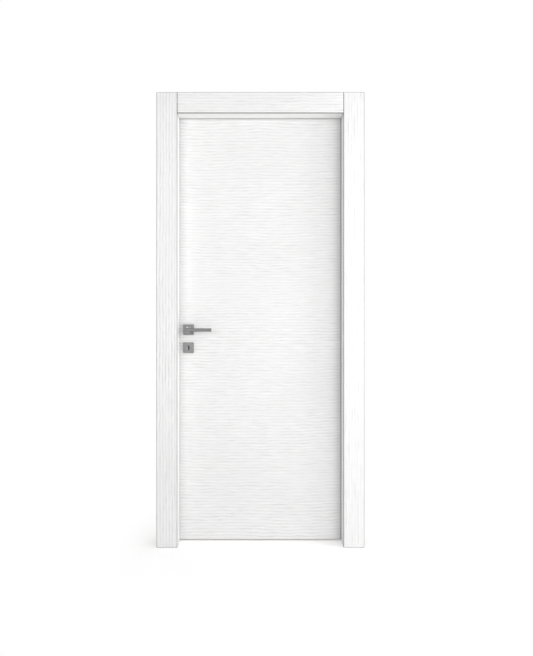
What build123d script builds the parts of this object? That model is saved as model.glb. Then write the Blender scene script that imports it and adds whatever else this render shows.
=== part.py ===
# Interior door set: a flush leaf hung in a rebated frame, with flat casings on both faces of the wall.
# Millimetres. X runs from the latch side to the hinge side, Y from the push side to the pull side, Z up.
# The origin is on the wall side of the hinge jamb, at floor level, half way through the wall.
import os

from build123d import *

# Opening and wall
clear_width = 805.0
clear_height = 2100.0
wall_thickness = 105.0

# Jambs, rebated for the leaf and mitred at the head
jamb_thickness = 40.0
rebate_depth = 10.0
stop_rounding = 1.5
rebate_rounding = 1.0

# Leaf, two skins on a frame of stiles and rails
leaf_thickness = 44.0
leaf_gap = 5.0
floor_gap = 5.0
skin_thickness = 4.0
skin_chamfer = 1.0
hinge_stile_width = 60.0
latch_stile_width = 70.0
top_rail_height = 60.0
bottom_rail_height = 80.0

# Casings, each with a tongue that slides into a groove in the jamb
casing_thickness = 12.0
casing_width = 100.0
back_casing_setback = 20.0
casing_rounding = 2.5
casing_end_chamfer = 1.2
tongue_thickness = 4.0
tongue_length = 20.0
front_tongue_inset = 18.0
back_tongue_inset = 28.0
tongue_play = 0.3

# Seal in the face of the stop, a hollow bulb on a flange with a stem
seal_inset = 4.5
seal_stem_thickness = 3.0
seal_stem_length = 8.0
seal_flange = 1.0
seal_bulb_width = 6.0
seal_bulb_height = 4.0
seal_wall = 0.9

# Lift-off hinges
hinge_places = ["bottom", "middle", "top"]
hinge_end_distance = 220.0
hinge_height = 110.0
hinge_flag_thickness = 2.5
hinge_flag_reach = 30.0
hinge_flag_rounding = 5.0
hinge_knuckle_diameter = 13.0
hinge_knuckle_chamfer = 1.8
hinge_notch_play = 0.5
hinge_pin_diameter = 8.0
hinge_pin_play = 0.08
hinge_pin_rise = 38.0
hinge_pin_sink = 38.0
hinge_pin_chamfer = 1.0
hinge_bore_end_play = 1.0
hinge_washer_thickness = 1.2
hinge_washer_lip = 0.4
hinge_washer_play = 0.3
turned_back_clearance = 5.0

# Mortise lock and strike
handle_height = 1050.0
backset = 50.0
key_drop = 90.0
case_thickness = 14.0
case_depth = 76.0
case_above_handle = 38.0
case_below_key = 38.0
case_play = 0.5
follower_bore_diameter = 17.0
faceplate_width = 20.0
faceplate_height = 235.0
faceplate_thickness = 3.0
plate_play = 0.2
bolt_thickness = 12.0
latch_bolt_height = 30.0
latch_bolt_length = 30.0
dead_bolt_height = 36.0
dead_bolt_length = 34.0
dead_bolt_rise = 16.0
bolt_play = 0.3
bolt_nose_chamfer = 0.8
strike_width = 22.0
strike_height = 200.0
strike_thickness = 2.0
strike_window_play = 2.0
strike_pocket_depth = 18.0

# Square roses
rose_size = 52.0
rose_thickness = 9.0
rose_corner_rounding = 3.0
rose_edge_chamfer = 0.9

# Keyhole, in a dish with sloping walls
keyhole_dish_width = 12.5
keyhole_dish_height = 24.0
keyhole_dish_depth = 3.6
keyhole_dish_slope = 45.0
keyhole_round_diameter = 8.0
keyhole_round_rise = 6.0
keyhole_slot_width = 4.0
keyhole_slot_drop = 13.0
keyhole_clearance_width = 12.0
keyhole_clearance_height = 28.0

# Levers on a round neck, and the spindle between them
neck_diameter = 22.0
neck_play = 0.3
neck_inner_gap = 1.0
neck_proud = 1.2
neck_rim_chamfer = 2.2
lever_length = 118.0
lever_height = 16.5
lever_thickness = 10.0
lever_reach = 50.0
lever_rounding = 2.8
lever_tip_chamfer = 1.0
spindle_size = 8.0
spindle_socket_depth = 28.0
spindle_hole_diameter = 20.0

# Places worked out from the sizes above
hinge_clear_x = -jamb_thickness
latch_clear_x = hinge_clear_x - clear_width
push_y = -wall_thickness / 2
pull_y = wall_thickness / 2
leaf_push_y = pull_y - leaf_thickness
leaf_middle_y = pull_y - leaf_thickness / 2
stop_y = leaf_push_y - leaf_gap

leaf_overlap = rebate_depth - leaf_gap
leaf_hinge_x = hinge_clear_x + leaf_overlap
leaf_latch_x = latch_clear_x - leaf_overlap
leaf_top_z = clear_height + leaf_overlap

hinge_seat_x = hinge_clear_x + rebate_depth
latch_seat_x = latch_clear_x - rebate_depth
hinge_axis_x = hinge_seat_x - leaf_gap / 2
hinge_axis_y = pull_y + (casing_thickness + turned_back_clearance) / 2
lowest_hinge_z = floor_gap + hinge_end_distance
highest_hinge_z = leaf_top_z - hinge_end_distance
hinge_spacing = (highest_hinge_z - lowest_hinge_z) / (len(hinge_places) - 1)
knuckle_gap = hinge_washer_thickness + hinge_washer_play

handle_x = leaf_latch_x + backset
key_z = handle_height - key_drop
dead_bolt_z = key_z + dead_bolt_rise
case_top_z = handle_height + case_above_handle
case_bottom_z = key_z - case_below_key
case_front_x = leaf_latch_x + faceplate_thickness
lock_middle_z = (case_top_z + case_bottom_z) / 2
bolt_places = [(handle_height, latch_bolt_height), (dead_bolt_z, dead_bolt_height)]

# Frame members are drawn with x outward from the clear opening and y across the wall
member_planes = {
    "hinge": Plane(origin=(hinge_clear_x, 0, 0), x_dir=(1, 0, 0), z_dir=(0, 0, 1)),
    "latch": Plane(origin=(latch_clear_x, 0, 0), x_dir=(-1, 0, 0), z_dir=(0, 0, -1)),
    "head": Plane(origin=(0, 0, clear_height), x_dir=(0, 0, 1), z_dir=(-1, 0, 0)),
}
member_directions = {"hinge": (0, 0, 1), "latch": (0, 0, 1), "head": (-1, 0, 0)}
member_lengths = {
    "hinge": clear_height + jamb_thickness,
    "latch": clear_height + jamb_thickness,
    "head": clear_width + 2 * jamb_thickness,
}
hinge_mitre = Plane(origin=(hinge_clear_x, 0, clear_height), z_dir=(1, 0, -1))
latch_mitre = Plane(origin=(latch_clear_x, 0, clear_height), z_dir=(-1, 0, -1))
leaf_middle = Plane(origin=(0, leaf_middle_y, 0), z_dir=(0, 1, 0))

os.makedirs("parts", exist_ok=True)


def save(piece, name):
    # Labels a finished piece and writes it to a file of its own.
    piece.part.label = name
    export_step(piece.part, f"parts/{name}.step")
    size = piece.part.bounding_box().size
    print(f"{name:24s} {size.X:8.1f} {size.Y:8.1f} {size.Z:8.1f}")


def rectangle_between(x0, y0, x1, y1, mode=Mode.ADD):
    with Locations(((x0 + x1) / 2, (y0 + y1) / 2)):
        Rectangle(abs(x1 - x0), abs(y1 - y0), mode=mode)


def block_between(low, high, mode=Mode.ADD):
    middle = tuple((a + b) / 2 for a, b in zip(low, high))
    with Locations(middle):
        Box(*[abs(b - a) for a, b in zip(low, high)], mode=mode)


# Outlines seen along X, on the edges of the leaf and the jambs
def flag_outline(face_x, middle_z, reach_y, growth=0.0):
    # A hinge flag: square at the knuckle, rounded at the corners that are let into the wood.
    plane = Plane(origin=(face_x, 0, middle_z), x_dir=(0, 1, 0), z_dir=(1, 0, 0))
    half = hinge_height / 2 + growth
    with BuildSketch(plane, mode=Mode.PRIVATE) as flag:
        rectangle_between(pull_y - hinge_flag_reach - growth, -half, reach_y, half)
        fillet(flag.vertices().group_by(Axis.X)[0], hinge_flag_rounding + growth)
    return flag.sketch


def plate_outline(face_x, width, height, growth=0.0):
    # The lock's faceplate or the strike: a plate with round ends.
    origin = (face_x, leaf_middle_y, lock_middle_z)
    plane = Plane(origin=origin, x_dir=(0, 1, 0), z_dir=(1, 0, 0))
    with BuildSketch(plane, mode=Mode.PRIVATE) as plate:
        SlotOverall(height + 2 * growth, width + 2 * growth, rotation=90)
    return plate.sketch


def bolt_block(x0, x1, middle_z, height, growth=0.0, mode=Mode.ADD):
    half_y = bolt_thickness / 2 + growth
    half_z = height / 2 + growth
    block_between(
        (x0, leaf_middle_y - half_y, middle_z - half_z),
        (x1, leaf_middle_y + half_y, middle_z + half_z),
        mode,
    )


# Outlines seen from the push side, centred on the handle's axis from left to right
def handle_plane(y):
    return Plane(origin=(handle_x, y, 0), x_dir=(1, 0, 0), z_dir=(0, -1, 0))


def round_outline(y, middle_z, diameter):
    with BuildSketch(handle_plane(y), mode=Mode.PRIVATE) as outline:
        with Locations((0, middle_z)):
            Circle(diameter / 2)
    return outline.sketch


def oval_outline(y, middle_z, width, height):
    with BuildSketch(handle_plane(y), mode=Mode.PRIVATE) as outline:
        with Locations((0, middle_z)):
            SlotOverall(height, width, rotation=90)
    return outline.sketch


def keyhole_outline(y):
    round_z = key_z + keyhole_round_rise
    half_slot = keyhole_slot_width / 2
    with BuildSketch(handle_plane(y), mode=Mode.PRIVATE) as outline:
        with Locations((0, round_z)):
            Circle(keyhole_round_diameter / 2)
        rectangle_between(-half_slot, round_z, half_slot, round_z - keyhole_slot_drop)
    return outline.sketch


def cut_through_leaf(outline):
    extrude(outline, amount=wall_thickness, both=True, mode=Mode.SUBTRACT)


def cut_handle_holes():
    # Holes in the leaf behind the roses, for the spindle and the key.
    cut_through_leaf(round_outline(leaf_middle_y, handle_height, spindle_hole_diameter))
    key_hole = oval_outline(
        leaf_middle_y, key_z, keyhole_clearance_width, keyhole_clearance_height
    )
    cut_through_leaf(key_hole)


# Frame: jambs and seals share the mitres
def cut_mitres(side):
    if side == "hinge":
        split(bisect_by=hinge_mitre, keep=Keep.TOP)
    elif side == "latch":
        split(bisect_by=latch_mitre, keep=Keep.TOP)
    else:
        split(bisect_by=hinge_mitre, keep=Keep.BOTTOM)
        split(bisect_by=latch_mitre, keep=Keep.BOTTOM)


def cut_tongue_groove(inset, edge_y, inward):
    rectangle_between(
        inset - tongue_play,
        edge_y,
        inset + tongue_thickness + tongue_play,
        edge_y + inward * (tongue_length + tongue_play),
        Mode.SUBTRACT,
    )


def seal_stem(mode):
    rectangle_between(
        seal_inset - seal_stem_thickness / 2,
        stop_y - seal_stem_length,
        seal_inset + seal_stem_thickness / 2,
        stop_y,
        mode,
    )


def seal_bulb(inward):
    # A half-round bulb standing on the flange, or the hollow inside it.
    half = seal_bulb_width / 2 - inward
    left = (seal_inset - half, stop_y + seal_flange)
    right = (seal_inset + half, stop_y + seal_flange)
    crown = (seal_inset, stop_y + seal_bulb_height - inward)
    with BuildSketch(mode=Mode.PRIVATE) as bulb:
        with BuildLine():
            Line(left, right)
            ThreePointArc(right, crown, left)
        make_face()
    return bulb.sketch


def make_jamb(side):
    with BuildPart() as jamb:
        with BuildSketch(member_planes[side]) as profile:
            rectangle_between(0, push_y, jamb_thickness, stop_y)
            rectangle_between(rebate_depth, stop_y, jamb_thickness, pull_y)
            stop_corner = profile.vertices().sort_by_distance((0, stop_y))[0]
            fillet(stop_corner, stop_rounding)
            rebate_corner = profile.vertices().sort_by_distance((rebate_depth, pull_y))[0]
            fillet(rebate_corner, rebate_rounding)
            cut_tongue_groove(front_tongue_inset, push_y, 1)
            cut_tongue_groove(back_tongue_inset, pull_y, -1)
            seal_stem(Mode.SUBTRACT)
        extrude(amount=member_lengths[side], dir=member_directions[side])
        cut_mitres(side)
    return jamb


def make_seal(side):
    bulb = seal_bulb(0.0)
    hollow = seal_bulb(seal_wall)
    with BuildPart() as seal:
        with BuildSketch(member_planes[side]):
            seal_stem(Mode.ADD)
            rectangle_between(
                seal_inset - seal_bulb_width / 2,
                stop_y,
                seal_inset + seal_bulb_width / 2,
                stop_y + seal_flange,
            )
            add(bulb)
            add(hollow, mode=Mode.SUBTRACT)
        extrude(amount=member_lengths[side], dir=member_directions[side])
        cut_mitres(side)
    return seal


def cut_flag_seats(face_x, into):
    # The seats are as deep as the flags are thick, with a little play round their edges.
    for number in range(len(hinge_places)):
        middle_z = lowest_hinge_z + number * hinge_spacing
        seat = flag_outline(face_x, middle_z, pull_y + casing_thickness, plate_play)
        extrude(seat, amount=hinge_flag_thickness, dir=(into, 0, 0), mode=Mode.SUBTRACT)


for side in ("hinge", "latch", "head"):
    save(make_seal(side), f"{side}_seal")

save(make_jamb("head"), "head_jamb")

with BuildPart() as hinge_jamb:
    add(make_jamb("hinge").part)
    cut_flag_seats(hinge_seat_x, 1)
save(hinge_jamb, "hinge_jamb")

with BuildPart() as latch_jamb:
    add(make_jamb("latch").part)
    strike_seat = plate_outline(latch_seat_x, strike_width, strike_height, plate_play)
    extrude(strike_seat, amount=strike_thickness, dir=(-1, 0, 0), mode=Mode.SUBTRACT)
    pocket_end_x = latch_seat_x - strike_pocket_depth
    for z, height in bolt_places:
        bolt_block(latch_seat_x, pocket_end_x, z, height, strike_window_play, Mode.SUBTRACT)
save(latch_jamb, "latch_jamb")

with BuildPart() as strike_plate:
    strike_outline = plate_outline(latch_seat_x, strike_width, strike_height)
    extrude(strike_outline, amount=strike_thickness, dir=(-1, 0, 0))
    strike_back_x = latch_seat_x - strike_thickness
    for z, height in bolt_places:
        bolt_block(latch_seat_x, strike_back_x, z, height, strike_window_play, Mode.SUBTRACT)
save(strike_plate, "strike_plate")


# Casings: the side ones run full height and the head one sits between them
def make_casing(side, face_y, outward, setback, tongue_inset):
    is_head = side == "head"
    front_y = face_y + outward * casing_thickness
    start = jamb_thickness - setback if is_head else 0.0
    plane = member_planes[side].offset(start)
    length = clear_width + 2 * setback if is_head else clear_height + casing_width
    tongue_run = length if is_head else clear_height
    with BuildPart() as casing:
        with BuildSketch(plane) as board:
            rectangle_between(setback, face_y, casing_width, front_y)
            front_corners = board.vertices().group_by(Axis.Y)[-1 if outward > 0 else 0]
            fillet(front_corners, casing_rounding)
        extrude(amount=length, dir=member_directions[side])
        ends = casing.faces().filter_by(Plane.YZ if is_head else Plane.XY)
        cut_ends = ends if is_head else ends.sort_by(Axis.Z)[-1:]
        end_edges = cut_ends.edges().filter_by(GeomType.LINE).group_by(Axis.Y)
        chamfer(end_edges[-1 if outward > 0 else 0], casing_end_chamfer)
        with BuildSketch(plane):
            rectangle_between(
                tongue_inset, face_y, tongue_inset + tongue_thickness, face_y - outward * tongue_length
            )
        extrude(amount=tongue_run, dir=member_directions[side])
    return casing


for side, place in (("latch", "left"), ("head", "head"), ("hinge", "right")):
    front_casing = make_casing(side, push_y, -1, 0.0, front_tongue_inset)
    save(front_casing, f"front_casing_{place}")
    back_casing = make_casing(side, pull_y, 1, back_casing_setback, back_tongue_inset)
    save(back_casing, f"back_casing_{place}")


# Leaf: stiles and rails between two skins, with a hollow inside
def make_skin(outer_y, inward):
    with BuildPart() as skin:
        block_between(
            (leaf_latch_x, outer_y, floor_gap),
            (leaf_hinge_x, outer_y + inward * skin_thickness, leaf_top_z),
        )
        outer_face = skin.faces().sort_by(Axis.Y)[0 if inward > 0 else -1]
        chamfer(outer_face.edges(), skin_chamfer)
        cut_handle_holes()
        if inward < 0:
            cut_flag_seats(leaf_hinge_x, -1)
    return skin


def core_block(x0, z0, x1, z1):
    block_between((x0, leaf_push_y + skin_thickness, z0), (x1, pull_y - skin_thickness, z1))


save(make_skin(leaf_push_y, 1), "front_skin")
save(make_skin(pull_y, -1), "back_skin")

latch_stile_x = leaf_latch_x + latch_stile_width
hinge_stile_x = leaf_hinge_x - hinge_stile_width

with BuildPart() as hinge_stile:
    core_block(hinge_stile_x, floor_gap, leaf_hinge_x, leaf_top_z)
    cut_flag_seats(leaf_hinge_x, -1)
save(hinge_stile, "hinge_stile")

with BuildPart() as latch_stile:
    core_block(leaf_latch_x, floor_gap, latch_stile_x, leaf_top_z)
    faceplate_seat = plate_outline(leaf_latch_x, faceplate_width, faceplate_height, plate_play)
    extrude(faceplate_seat, amount=faceplate_thickness, dir=(1, 0, 0), mode=Mode.SUBTRACT)
    mortise_half_y = case_thickness / 2 + case_play
    block_between(
        (leaf_latch_x, leaf_middle_y - mortise_half_y, case_bottom_z - case_play),
        (latch_stile_x, leaf_middle_y + mortise_half_y, case_top_z + case_play),
        Mode.SUBTRACT,
    )
    cut_handle_holes()
save(latch_stile, "latch_stile")

with BuildPart() as top_rail:
    core_block(latch_stile_x, leaf_top_z - top_rail_height, hinge_stile_x, leaf_top_z)
save(top_rail, "top_rail")

with BuildPart() as bottom_rail:
    core_block(latch_stile_x, floor_gap, hinge_stile_x, floor_gap + bottom_rail_height)
save(bottom_rail, "bottom_rail")


# Lock: case, faceplate and the two bolts, which stand drawn in
def make_bolt(middle_z, height, length):
    with BuildPart() as bolt:
        bolt_block(leaf_latch_x, leaf_latch_x + length, middle_z, height)
        chamfer(bolt.faces().sort_by(Axis.X)[0].edges(), bolt_nose_chamfer)
    return bolt


with BuildPart() as lock_case:
    block_between(
        (case_front_x, leaf_middle_y - case_thickness / 2, case_bottom_z),
        (case_front_x + case_depth, leaf_middle_y + case_thickness / 2, case_top_z),
    )
    for (z, height), length in zip(bolt_places, (latch_bolt_length, dead_bolt_length)):
        channel_end_x = leaf_latch_x + length + bolt_play
        bolt_block(case_front_x, channel_end_x, z, height, bolt_play, Mode.SUBTRACT)
    cut_through_leaf(round_outline(leaf_middle_y, handle_height, follower_bore_diameter))
    cut_through_leaf(keyhole_outline(leaf_middle_y))
save(lock_case, "lock_case")

with BuildPart() as lock_faceplate:
    faceplate_outline = plate_outline(leaf_latch_x, faceplate_width, faceplate_height)
    extrude(faceplate_outline, amount=faceplate_thickness, dir=(1, 0, 0))
    for z, height in bolt_places:
        bolt_block(leaf_latch_x, case_front_x, z, height, bolt_play, Mode.SUBTRACT)
save(lock_faceplate, "lock_faceplate")

save(make_bolt(handle_height, latch_bolt_height, latch_bolt_length), "latch_bolt")
save(make_bolt(dead_bolt_z, dead_bolt_height, dead_bolt_length), "dead_bolt")


# Hinges: the lower knuckle and the pin stay with the frame, the upper knuckle lifts off with the leaf
def knuckle_circle(z, diameter):
    origin = (hinge_axis_x, hinge_axis_y, z)
    with BuildSketch(Plane(origin=origin), mode=Mode.PRIVATE) as circle:
        Circle(diameter / 2)
    return circle.sketch


def make_hinge_half(middle_z, is_upper):
    side = 1 if is_upper else -1
    face_x = leaf_hinge_x if is_upper else hinge_seat_x
    knuckle_z = middle_z + side * knuckle_gap / 2
    knuckle_length = (hinge_height - knuckle_gap) / 2
    notch_diameter = hinge_knuckle_diameter + 2 * (hinge_washer_lip + hinge_notch_play)
    bore_diameter = hinge_pin_diameter + (2 * hinge_pin_play if is_upper else 0.0)
    bore_depth = hinge_pin_rise + hinge_bore_end_play if is_upper else hinge_pin_sink
    with BuildPart() as knuckle:
        extrude(knuckle_circle(knuckle_z, hinge_knuckle_diameter), amount=side * knuckle_length)
        end_face = knuckle.faces().sort_by(Axis.Z)[-1 if is_upper else 0]
        chamfer(end_face.edges(), hinge_knuckle_chamfer)
    with BuildPart() as half:
        flag = flag_outline(face_x, middle_z, hinge_axis_y)
        extrude(flag, amount=hinge_flag_thickness, dir=(-side, 0, 0))
        notch = knuckle_circle(knuckle_z, notch_diameter)
        extrude(notch, amount=-side * hinge_height, mode=Mode.SUBTRACT)
        add(knuckle.part)
        bore = knuckle_circle(knuckle_z, bore_diameter)
        extrude(bore, amount=side * bore_depth, mode=Mode.SUBTRACT)
    return half


def make_hinge_pin(middle_z):
    seat_z = middle_z - knuckle_gap / 2
    pin_length = hinge_pin_sink + hinge_washer_thickness + hinge_pin_rise
    with BuildPart() as pin:
        extrude(knuckle_circle(seat_z - hinge_pin_sink, hinge_pin_diameter), amount=pin_length)
        chamfer(pin.faces().sort_by(Axis.Z)[-1].edges(), hinge_pin_chamfer)
        washer = knuckle_circle(seat_z, hinge_knuckle_diameter + 2 * hinge_washer_lip)
        extrude(washer, amount=hinge_washer_thickness)
    return pin


for number, place in enumerate(hinge_places):
    hinge_z = lowest_hinge_z + number * hinge_spacing
    save(make_hinge_half(hinge_z, False), f"{place}_hinge_frame_half")
    save(make_hinge_half(hinge_z, True), f"{place}_hinge_leaf_half")
    save(make_hinge_pin(hinge_z), f"{place}_hinge_pin")


# Roses and levers: each is made for the push side and mirrored through the leaf
def make_rose_plate(middle_z):
    with BuildPart() as plate:
        with BuildSketch(handle_plane(leaf_push_y)):
            with Locations((0, middle_z)):
                RectangleRounded(rose_size, rose_size, rose_corner_rounding)
        extrude(amount=rose_thickness)
        chamfer(plate.faces().sort_by(Axis.Y)[0].edges(), rose_edge_chamfer)
    return plate


with BuildPart() as front_rose:
    add(make_rose_plate(handle_height).part)
    neck_hole = round_outline(leaf_push_y, handle_height, neck_diameter + 2 * neck_play)
    extrude(neck_hole, amount=rose_thickness, mode=Mode.SUBTRACT)
save(front_rose, "front_rose")

with BuildPart() as front_key_rose:
    add(make_rose_plate(key_z).part)
    dish = oval_outline(
        leaf_push_y - rose_thickness, key_z, keyhole_dish_width, keyhole_dish_height
    )
    extrude(dish, amount=-keyhole_dish_depth, taper=keyhole_dish_slope, mode=Mode.SUBTRACT)
    extrude(keyhole_outline(leaf_push_y), amount=rose_thickness, mode=Mode.SUBTRACT)
save(front_key_rose, "front_key_rose")

with BuildPart() as front_lever:
    neck_inner_y = leaf_push_y - neck_inner_gap
    lever_front_y = leaf_push_y - lever_reach
    neck = round_outline(neck_inner_y, handle_height, neck_diameter)
    extrude(neck, amount=neck_inner_y - lever_front_y + neck_proud)
    chamfer(front_lever.faces().sort_by(Axis.Y)[0].edges(), neck_rim_chamfer)
    lever_middle_y = lever_front_y + lever_thickness / 2
    bar_start = Plane(
        origin=(handle_x, lever_middle_y, handle_height), x_dir=(0, 1, 0), z_dir=(1, 0, 0)
    )
    with BuildSketch(bar_start):
        RectangleRounded(lever_thickness, lever_height, lever_rounding)
    extrude(amount=lever_length)
    chamfer(front_lever.faces().sort_by(Axis.X)[-1].edges(), lever_tip_chamfer)
    with BuildSketch(handle_plane(neck_inner_y)):
        with Locations((0, handle_height)):
            Rectangle(spindle_size, spindle_size)
    extrude(amount=spindle_socket_depth, mode=Mode.SUBTRACT)
save(front_lever, "front_lever")

for name, front in (("rose", front_rose), ("key_rose", front_key_rose), ("lever", front_lever)):
    with BuildPart() as back:
        mirror(front.part, about=leaf_middle)
    save(back, f"back_{name}")

with BuildPart() as spindle:
    spindle_reach = leaf_thickness / 2 + neck_inner_gap + spindle_socket_depth
    half_size = spindle_size / 2
    block_between(
        (handle_x - half_size, leaf_middle_y - spindle_reach, handle_height - half_size),
        (handle_x + half_size, leaf_middle_y + spindle_reach, handle_height + half_size),
    )
save(spindle, "spindle")
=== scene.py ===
import math

import bmesh
import bpy
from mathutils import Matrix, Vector, noise


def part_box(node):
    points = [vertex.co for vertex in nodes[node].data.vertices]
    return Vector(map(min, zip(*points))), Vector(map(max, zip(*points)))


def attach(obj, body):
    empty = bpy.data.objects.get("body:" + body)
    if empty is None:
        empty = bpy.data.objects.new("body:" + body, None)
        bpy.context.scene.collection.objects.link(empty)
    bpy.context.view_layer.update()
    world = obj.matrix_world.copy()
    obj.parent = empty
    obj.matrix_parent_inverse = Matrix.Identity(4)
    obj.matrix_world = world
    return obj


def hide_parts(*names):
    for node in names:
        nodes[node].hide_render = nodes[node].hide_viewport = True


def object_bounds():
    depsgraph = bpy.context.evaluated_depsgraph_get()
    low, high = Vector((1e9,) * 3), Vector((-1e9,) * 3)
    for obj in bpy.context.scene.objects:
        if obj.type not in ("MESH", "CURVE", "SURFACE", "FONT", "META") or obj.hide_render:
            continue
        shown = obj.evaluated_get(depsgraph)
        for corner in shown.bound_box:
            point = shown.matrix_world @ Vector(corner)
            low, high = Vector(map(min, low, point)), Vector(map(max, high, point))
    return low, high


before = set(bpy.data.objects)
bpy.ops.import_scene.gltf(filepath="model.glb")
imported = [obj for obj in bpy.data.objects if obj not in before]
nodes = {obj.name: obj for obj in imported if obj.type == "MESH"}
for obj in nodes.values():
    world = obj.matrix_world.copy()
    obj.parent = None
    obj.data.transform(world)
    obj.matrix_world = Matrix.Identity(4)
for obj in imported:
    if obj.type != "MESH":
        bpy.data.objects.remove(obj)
cadLow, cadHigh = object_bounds()
print("door loaded,", len(nodes), "pieces from the frame")


# faces and places that the pieces are set out from
leafLow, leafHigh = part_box("front_skin")
leafMiddleX = (leafLow.x + leafHigh.x) / 2
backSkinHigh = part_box("back_skin")[1]
jambLow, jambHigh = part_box("hinge_jamb")
latchLow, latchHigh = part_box("latch_jamb")
headLow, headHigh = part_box("head_jamb")
hingeClearX, latchClearX, clearTop = jambLow.x, latchHigh.x, headLow.z
frontWallY, backWallY = jambLow.y, jambHigh.y
hingePlaces = ("bottom", "middle", "top")


# camera at the photograph's viewing angle, level and square to the door
cameraView = {
    "distance": 2.282,          # from the front casings
    "height": 1.143,
    "imageHeight": 656,
    "rowsPerMetre": 207.1,      # image rows to a metre, at the front casings
    "doorLeft": 6.1,            # how far the door stands left of the image's middle, in pixels
    "horizonUp": 17.05,         # how far the horizon is above the middle, in pixels
    "sensorSize": 36.0,
}


def placeCamera(values):
    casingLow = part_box("front_casing_left")[0]
    camera = bpy.data.cameras.new("doorCamera")
    imageHeightInMetres = values["imageHeight"] / values["rowsPerMetre"]
    camera.sensor_width = values["sensorSize"]
    camera.lens = values["sensorSize"] * values["distance"] / imageHeightInMetres
    camera.shift_x = values["doorLeft"] / values["imageHeight"]
    camera.shift_y = -values["horizonUp"] / values["imageHeight"]
    cameraObject = bpy.data.objects.new("doorCamera", camera)
    cameraObject.location = (leafMiddleX, casingLow.y - values["distance"], values["height"])
    cameraObject.rotation_euler = (math.radians(90), 0, 0)
    bpy.context.scene.collection.objects.link(cameraObject)
    bpy.context.scene.camera = cameraObject


placeCamera(cameraView)
bpy.context.scene.view_settings.view_transform = "Standard"
print("camera placed")


# small helpers for shader trees
def feed(tree, socket, value):
    if isinstance(value, bpy.types.NodeSocket):
        tree.links.new(value, socket)
    else:
        socket.default_value = value


def addNode(tree, kind, inputs=None, **settings):
    node = tree.nodes.new(kind)
    for name, value in settings.items():
        setattr(node, name, value)
    for name, value in (inputs or {}).items():
        feed(tree, node.inputs[name], value)
    return node


def addMath(tree, operation, *values):
    node = addNode(tree, "ShaderNodeMath", operation=operation)
    for socket, value in zip(node.inputs, values):
        feed(tree, socket, value)
    return node.outputs[0]


def addRange(tree, value, fromLow, fromHigh, toLow, toHigh, easing="SMOOTHSTEP"):
    node = addNode(tree, "ShaderNodeMapRange", {
        "Value": value, "From Min": fromLow, "From Max": fromHigh,
        "To Min": toLow, "To Max": toHigh,
    }, interpolation_type=easing)
    return node.outputs["Result"]


def addColorMix(tree, factor, first, second):
    node = addNode(tree, "ShaderNodeMix", data_type="RGBA")
    sockets = (node.inputs[0], node.inputs[6], node.inputs[7])
    for socket, value in zip(sockets, (factor, first, second)):
        feed(tree, socket, value)
    return node.outputs[2]


def addNoise(tree, vector, scale, detail=2.0, roughness=0.5):
    node = addNode(tree, "ShaderNodeTexNoise", {
        "Vector": vector, "Scale": scale, "Detail": detail, "Roughness": roughness,
    })
    return node.outputs["Fac"]


def addSplit(tree, vector):
    node = addNode(tree, "ShaderNodeSeparateXYZ", {"Vector": vector})
    return node.outputs["X"], node.outputs["Y"], node.outputs["Z"]


def addJoin(tree, x, y, z):
    return addNode(tree, "ShaderNodeCombineXYZ", {"X": x, "Y": y, "Z": z}).outputs[0]


def addSurfaceBump(tree, shader, height, distance):
    bump = addNode(tree, "ShaderNodeBump", {"Height": height, "Distance": distance})
    tree.links.new(bump.outputs["Normal"], shader.inputs["Normal"])


def startGroup(name, inputs, outputs):
    group = bpy.data.node_groups.new(name, "ShaderNodeTree")
    for label, value in inputs.items():
        kind = "NodeSocketVector" if value is None else "NodeSocketFloat"
        socket = group.interface.new_socket(name=label, in_out="INPUT", socket_type=kind)
        if value is not None:
            socket.default_value = value
    for label in outputs:
        group.interface.new_socket(name=label, in_out="OUTPUT", socket_type="NodeSocketFloat")
    entry = group.nodes.new("NodeGroupInput")
    leave = group.nodes.new("NodeGroupOutput")
    return group, entry.outputs, leave.inputs


def useGroup(tree, group, inputs):
    return addNode(tree, "ShaderNodeGroup", inputs, node_tree=group).outputs


# pores and tone of wood, drawn out along X or upright
def buildWoodPores():
    group, given, made = startGroup(
        "woodPores",
        {"Position": None, "Upright": 0.0, "Pore Width": 0.0012, "Stretch": 18.0, "Waviness": 0.02},
        ["Pores", "Bands", "Cloud"],
    )
    driftScale, cloudScale, bandWidth = 3.0, 1.9, 6.0       # the last in pores
    x, y, z = addSplit(group, given["Position"])
    level = addMath(group, "SUBTRACT", 1.0, given["Upright"])
    along = addMath(group, "MULTIPLY_ADD", z, given["Upright"], addMath(group, "MULTIPLY", x, level))
    across = addMath(group, "MULTIPLY_ADD", x, given["Upright"], addMath(group, "MULTIPLY", z, level))
    board = addJoin(group, along, y, across)
    drift = addMath(group, "SUBTRACT", addNoise(group, board, driftScale, 1.0), 0.5)
    bent = addMath(group, "MULTIPLY_ADD", drift, given["Waviness"], across)
    shortened = addMath(group, "DIVIDE", along, given["Stretch"])
    fibres = addJoin(group, shortened, y, bent)
    density = addMath(group, "DIVIDE", 1.0, given["Pore Width"])
    pores = addNoise(group, fibres, density, 2.0, 0.6)
    bands = addNoise(group, fibres, addMath(group, "DIVIDE", density, bandWidth), 2.0, 0.55)
    group.links.new(addRange(group, pores, 0.35, 0.62, 0.0, 1.0), made["Pores"])
    group.links.new(addRange(group, bands, 0.34, 0.66, 0.0, 1.0), made["Bands"])
    group.links.new(addNoise(group, board, cloudScale, 2.0), made["Cloud"])
    return group


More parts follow.
